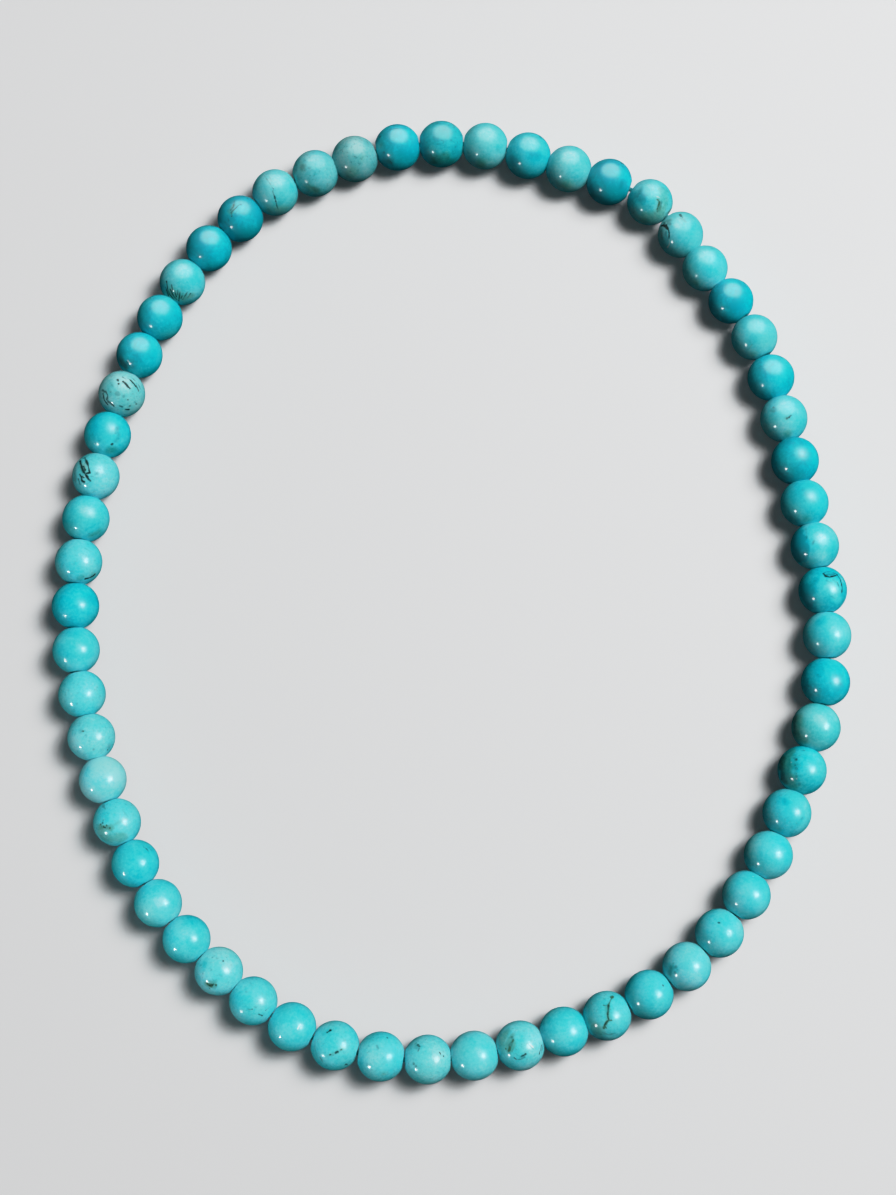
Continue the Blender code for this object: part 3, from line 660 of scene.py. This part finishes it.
def crowded_angles(lines):
    """Angles round the hole, drawn together towards the top, where the marks are: the density is 1 plus
    the crowding times the fourth power of the cosine of half the angle from the top."""
    half_degrees = 720
    angle = np.linspace(-math.pi, math.pi, half_degrees + 1)
    density = 1 + TOP_CROWDING * np.cos(angle / 2) ** 4
    share = np.concatenate([[0], np.cumsum((density[1:] + density[:-1]) / 2)])
    wanted = np.linspace(0, share[-1], lines, endpoint=False)
    return np.interp(wanted, share, angle) + math.pi / 2


def seen_on_stone(points, middle, radius):
    """Charted places brought onto the round stone, with the steps between two neighbours filled in: right
    and up are across the line from the bead to the eye, and the depth is what is left of the radius."""
    chart = np.array(points)
    legs = len(chart) - 1
    if legs > 0:
        share = np.linspace(0, legs, STEPS_PER_LEG * legs + 1)
        chart = np.stack([np.interp(share, np.arange(legs + 1), chart[:, axis]) for axis in (0, 1)], -1)
    to_eye = np.array(EYE) - middle
    to_eye /= np.linalg.norm(to_eye)
    right = np.cross((0, 1, 0), to_eye)
    right /= np.linalg.norm(right)
    up = np.cross(to_eye, right)
    flat = chart * MM / (BEAD_DIAMETER / 2)
    deep = np.sqrt(np.clip(1 - (flat**2).sum(axis=1), 0, 1))
    return radius * (flat[:, :1] * right + flat[:, 1:] * up + deep[:, None] * to_eye)


def turned_stone(number, radius, lines_round, lines_along):
    """The grid of one bead about its own middle: its outline's distance along the hole, and its distance
    from the hole turned through the angles round it. Also says which of its lines the dents reach."""
    forward_way = np.array([*ahead[number - 1], 0.0])
    side_way = np.array([-forward_way[1], forward_way[0], 0.0])
    half = (BEAD_LENGTH / 2 + SEATING) * size_shares[number - 1]
    x, r = drilled_outline(radius, half, lines_along)
    turn = crowded_angles(lines_round)[None, :]
    grid = (
        x[:, None, None] * forward_way
        + (r[:, None] * np.cos(turn))[..., None] * side_way
        + (r[:, None] * np.sin(turn))[..., None] * np.array([0.0, 0.0, 1.0])
    )
    return grid, (r > DENTS_FROM)[:, None]


def mark_cover(grid, places, width, edge, seed):
    """How much of each point a mark covers, from 0 to 1: all within its width of the places that it passes,
    none past its soft edge, and by the smooth cubic step between. The mark swells and narrows along its
    way, and its edge is ragged."""
    widths = width * (1 + WIDTH_DRIFT * mottle(places, WIDTH_DRIFT_SPAN, seed))
    gaps = np.linalg.norm(grid[..., None, :] - places, axis=-1) / MM - widths
    ragged = min(RAGGED_EDGE * edge, RAGGED_WIDTH * width)
    teeth = mottle(grid, RAGGED_SPAN + RAGGED_SPAN_PER_MM * edge, EDGE_SEED + seed)
    gap = gaps.min(axis=-1) + ragged * teeth
    cover = np.clip(0.5 - gap / edge, 0, 1)
    return cover * cover * (3 - 2 * cover)


def times_plus(tree, value, factor, term, **settings):
    """The value times the factor, plus the term."""
    settings = {"operation": "MULTIPLY_ADD", **settings}
    return add_node(tree, "ShaderNodeMath", settings, {0: value, 1: factor, 2: term}).outputs[0]


def laid_over(tree, share, under, over):
    """The colour under, covered by the share with the colour over."""
    settings = {"data_type": "RGBA"}
    return add_node(tree, "ShaderNodeMix", settings, {0: share, 6: under, 7: over}).outputs[2]


def polished_turquoise():
    """Turquoise, tumbled and waxed: an opaque, close grained stone. The wax gives a clear thin gloss over a
    dull body, the colour drifts over a few millimetres, and the host rock in it is dark and duller. The same
    dark colour also lays the painted shade, and the white the painted glints."""
    material = bpy.data.materials.new("polished_turquoise")
    material.use_nodes = True
    tree = material.node_tree
    shader = tree.nodes["Principled BSDF"]
    shader.inputs["IOR"].default_value = 1.61
    shader.inputs["Specular IOR Level"].default_value = 0.08
    shader.inputs["Coat Roughness"].default_value = 0.13
    shader.inputs["Coat IOR"].default_value = 1.45
    place = add_node(tree, "ShaderNodeTexCoord", {}, {}).outputs["Object"]
    share = {
        name: add_node(tree, "ShaderNodeAttribute", {"attribute_name": name}, {}).outputs["Fac"]
        for name in ("pale", "green", "fleck", "rock", "stain", "chalk_and_glint")
    }
    # Clouds of colour 3 mm across, and a grain of 0.5 mm, which is twice the real one, to show at all
    clouds = add_node(tree, "ShaderNodeTexNoise", {}, {"Vector": place, "Scale": 330, "Detail": 4})
    grain = add_node(
        tree, "ShaderNodeTexNoise", {}, {"Vector": place, "Scale": 1900, "Detail": 3, "Roughness": 0.65}
    )
    drift = times_plus(tree, clouds.outputs["Fac"], 0.60, share["pale"])
    drift = times_plus(tree, grain.outputs["Fac"], 0.70, drift)
    # The two noises add 0.65 on average, which is taken off again
    drift = add_node(tree, "ShaderNodeMath", {"operation": "SUBTRACT"}, {0: drift, 1: 0.65}).outputs[0]
    stones = []
    for codes in (
        ("#00A5B8", "#00BFD0", "#36CBD8", "#60D5E1", "#89DDE6"),
        ("#0B8C86", "#2AA39B", "#4FB8AE", "#70C5BA", "#92D2C8"),
    ):
        ramp = add_node(tree, "ShaderNodeValToRGB", {}, {"Fac": drift})
        ramp.color_ramp.elements[0].color = colour(codes[0])
        ramp.color_ramp.elements[1].color = colour(codes[4])
        for place_on_ramp, code in zip((0.25, 0.5, 0.75), codes[1:4]):
            ramp.color_ramp.elements.new(place_on_ramp).color = colour(code)
        stones.append(ramp.outputs["Color"])
    stone = laid_over(tree, share["green"], stones[0], stones[1])
    stained = laid_over(tree, share["stain"], stone, colour("#3F7C5E"))
    # The white is chalk in the stone, and also the painted glints
    chalked_and_glinted = laid_over(tree, share["chalk_and_glint"], stained, colour("#D2E8E2"))
    # Dark grains of rock under 0.3 mm, thick in the flecked stones and thin in the rest
    grains = add_node(
        tree, "ShaderNodeTexNoise", {}, {"Vector": place, "Scale": 2100, "Detail": 2, "Roughness": 0.6}
    )
    grains = add_node(
        tree, "ShaderNodeMapRange", {},
        {"Value": grains.outputs["Fac"], "From Min": 0.56, "From Max": 0.76, "To Min": 0.0, "To Max": 0.28},
    )
    rock = times_plus(tree, grains.outputs["Result"], share["fleck"], share["rock"], use_clamp=True)
    # The dark colour is the host rock, and also the painted shade that the murk and moss marks bring
    veined_and_shaded = laid_over(tree, rock, chalked_and_glinted, colour("#082C2B"))
    tree.links.new(veined_and_shaded, shader.inputs["Base Color"])
    dulled = times_plus(tree, clouds.outputs["Fac"], 0.12, times_plus(tree, share["rock"], 0.25, 0.45))
    tree.links.new(dulled, shader.inputs["Roughness"])
    # Hardly any wax holds on the rock, so its gloss is nearly gone; where the same share lays painted shade,
    # the gloss goes too
    waxed = times_plus(tree, share["rock"], -0.42, 0.45)
    tree.links.new(waxed, shader.inputs["Coat Weight"])
    bump = add_node(
        tree, "ShaderNodeBump", {},
        {"Strength": 0.25, "Distance": 0.00004, "Height": grain.outputs["Fac"]},
    )
    tree.links.new(bump.outputs["Normal"], shader.inputs["Normal"])
    return material


stone = polished_turquoise()
for number in range(1, BEAD_COUNT + 1):
    marks = BEAD_MARKS.get(number, [])
    kinds = {kind for kind, _, _ in marks}
    fineness = "lined" if kinds & LINE_KINDS else "specked" if kinds & SPOT_KINDS else "plain"
    radius = BEAD_DIAMETER / 2 * size_shares[number - 1]
    middle = np.array([*middles[number - 1], radius])
    local, dented = turned_stone(number, radius, *GRID_LINES[fineness])
    dent = OUT_OF_ROUND * mottle(local, OUT_OF_ROUND_SPAN, ROUND_SEED + number)
    pale, greenness, dullness = TONES[BEAD_TONES[number - 1]]
    tone = {
        "pale": pale + PALE_DRIFT * mottle(local, PALE_DRIFT_SPAN, PALE_SEED + number),
        "green": greenness + GREEN_DRIFT * mottle(local, GREEN_DRIFT_SPAN, GREEN_SEED + number),
        "fleck": np.full(local.shape[:2], 1.0 if number in FLECKED else FLECKS_IN_REST),
        "rock": np.full(local.shape[:2], dullness),
        "stain": np.zeros(local.shape[:2]),
        "chalk_and_glint": np.zeros(local.shape[:2]),
    }
    # The marks lay onto each bead its stone's own marks, and also the painted shade, light and glints
    for order, (kind, width, points) in enumerate(marks):
        what = MARK_KINDS[kind]
        places = seen_on_stone(points, middle, radius)
        cover = mark_cover(local, places, width, what["edge"], SEEDS_PER_BEAD * number + order)
        dent = dent - what["depth"] * MM * cover
        for key in ("pale", "green"):
            tone[key] = tone[key] + what.get(key, 0) * cover
        for key in ("rock", "stain", "chalk_and_glint"):
            tone[key] = np.maximum(tone[key], what.get(key, 0) * cover)
    tone["green"] = np.clip(tone["green"], 0, 1)
    outwards = local / np.linalg.norm(local, axis=-1, keepdims=True)
    bead_points = middle + local + outwards * (dent * dented)[..., None]
    # No stone sinks into the surface that it rests on
    bead_points[..., 2] = np.maximum(bead_points[..., 2], 0.0)
    bead = closed_grid(f"bead_{number:02d}", bead_points, stone, **tone)
    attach(bead, "root")
    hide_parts("bead_string")


# The stage. A plain pale matt floor in a soft grey room. One softbox high at the far right shapes the
# beads, and a small low one lifts the near left stretch. Three more light the gloss alone, each on its own
# stretch, and lay the bright patch on the beads. A small lamp at the near left glints in them all.
FLOOR_REACH = 4.0
floor_corners = [(-1, -1, 0), (1, -1, 0), (1, 1, 0), (-1, 1, 0)]
floor_mesh = bpy.data.meshes.new("floor")
floor_mesh.from_pydata([[FLOOR_REACH * k for k in corner] for corner in floor_corners], [], [(0, 1, 2, 3)])
floor = bpy.data.objects.new("floor", floor_mesh)
bpy.context.scene.collection.objects.link(floor)
paper = bpy.data.materials.new("matt_paper")
paper.use_nodes = True
matt = paper.node_tree.nodes["Principled BSDF"].inputs
matt["Base Color"].default_value = colour("#E3E4E5")
matt["Roughness"].default_value = 0.95
matt["Specular IOR Level"].default_value = 0.1
floor_mesh.materials.append(paper)
# The floor throws no light back at the beads, so that their lower sides stay deep
floor.visible_diffuse = False
floor.visible_glossy = False

room = bpy.data.worlds.new("room")
bpy.context.scene.world = room
room.use_nodes = True
walls = room.node_tree.nodes["Background"].inputs
walls["Color"].default_value = colour("#D8DADC")
walls["Strength"].default_value = 0.09
# The room lights the stones' matt body and doesn't show in their gloss
room.cycles_visibility.glossy = False
# The picture keeps its dark and middle tones as they are, and its lights roll off softly, as on film
view = bpy.context.scene.view_settings
view.view_transform = "Standard"
view.use_curve_mapping = True
shoulder = view.curve_mapping.curves[3].points
shoulder[1].location = (1.0, 0.79)
for tone_in, tone_out in ((0.30, 0.30), (0.60, 0.60), (0.80, 0.70)):
    shoulder.new(tone_in, tone_out)
view.curve_mapping.update()


def softbox(name, aim, way, distance, radius, skirt, flat=0.0, core=0.0, gloss=True, shade=True):
    """A round softbox at a distance from its aim. Its glow has the skirt's strength over the flat share of
    its radius, and falls off smoothly from there to its edge. A core of half its radius may glow in its
    middle. It may light the surfaces' gloss alone, or their matt body alone."""
    light = bpy.data.lights.new(name, "AREA")
    light.shape = "DISK"
    light.size = 2 * radius
    # At this power the glow's numbers are the light's own strengths
    light.energy = math.pi * math.pi * radius**2
    light.use_nodes = True
    tree = light.node_tree
    # Across the disk these coordinates go from 0 to 1, so its edge is 0.5 from its middle
    spot = add_node(tree, "ShaderNodeNewGeometry", {}, {}).outputs["Parametric"]
    off = add_node(tree, "ShaderNodeVectorMath", {"operation": "SUBTRACT"}, {0: spot, 1: (0.5, 0.5, 0.0)})
    reach = add_node(tree, "ShaderNodeVectorMath", {"operation": "LENGTH"}, {0: off.outputs[0]})
    wide, narrow = (
        add_node(
            tree, "ShaderNodeMapRange", {"interpolation_type": "SMOOTHSTEP"},
            {"Value": reach.outputs["Value"], "From Min": edge, "From Max": full, "To Max": top},
        )
        for edge, full, top in ((0.5, 0.5 * flat, skirt), (0.25, 0.0, core))
    )
    glow = add_node(
        tree, "ShaderNodeMath", {"operation": "ADD"}, {0: wide.outputs["Result"], 1: narrow.outputs["Result"]}
    )
    tree.links.new(glow.outputs[0], tree.nodes["Emission"].inputs["Strength"])
    placed = bpy.data.objects.new(name, light)
    way = Vector(way).normalized()
    placed.location = Vector(aim) + way * distance
    placed.rotation_euler = way.to_track_quat("Z", "Y").to_euler()
    placed.visible_glossy = gloss
    placed.visible_diffuse = shade
    bpy.context.scene.collection.objects.link(placed)
    return placed


def light_only(light, numbers):
    """Lets a light fall on the numbered beads alone, as a flag beside a softbox does."""
    group = bpy.data.collections.new(light.name + "_falls_on")
    for number in numbers:
        group.objects.link(bpy.data.objects[f"bead_{number:02d}"])
    light.light_linking.receiver_collection = group


# The stretches of the loop that the softboxes are kept to, by bead
LOWER_LEFT = range(29, 52)
FAR_END = [*range(1, 14), *range(51, 60)]
SHOULDERS = [14, 15, 16, 48, 49, 50]
SIDES_AND_NEAR_END = range(17, 48)

softbox(
    "softbox_above", aim=(0.0, -0.02, 0.0), way=(0.48, 0.28, 0.83), distance=0.9, radius=0.35, skirt=28.3,
    gloss=False,
)
low_box = softbox(
    "softbox_low", aim=(-0.065, -0.055, 0.0), way=(-0.55, -0.55, 0.5), distance=0.13, radius=0.05,
    skirt=10.0, gloss=False,
)
light_only(low_box, LOWER_LEFT)
far_box = softbox(
    "softbox_far", aim=(0.0, 0.05, 0.0), way=(0.10, 0.68, 0.73), distance=0.9, radius=1.0, skirt=10.5,
    flat=0.40, shade=False,
)
light_only(far_box, FAR_END)
shoulder_box = softbox(
    "softbox_shoulder", aim=(0.0, 0.0, 0.0), way=(0.42, 0.42, 0.80), distance=0.9, radius=0.8, skirt=8.0,
    flat=0.2, core=12.0, shade=False,
)
light_only(shoulder_box, SHOULDERS)
right_box = softbox(
    "softbox_right", aim=(0.0, -0.04, 0.0), way=(0.68, 0.02, 0.73), distance=0.9, radius=0.70, skirt=5.0,
    core=30.0, shade=False,
)
light_only(right_box, SIDES_AND_NEAR_END)
softbox(
    "small_lamp", aim=(0.0, 0.0, 0.0), way=(-0.68, -0.67, 0.28), distance=0.72, radius=0.075, skirt=110.0,
    flat=0.3, shade=False,
)
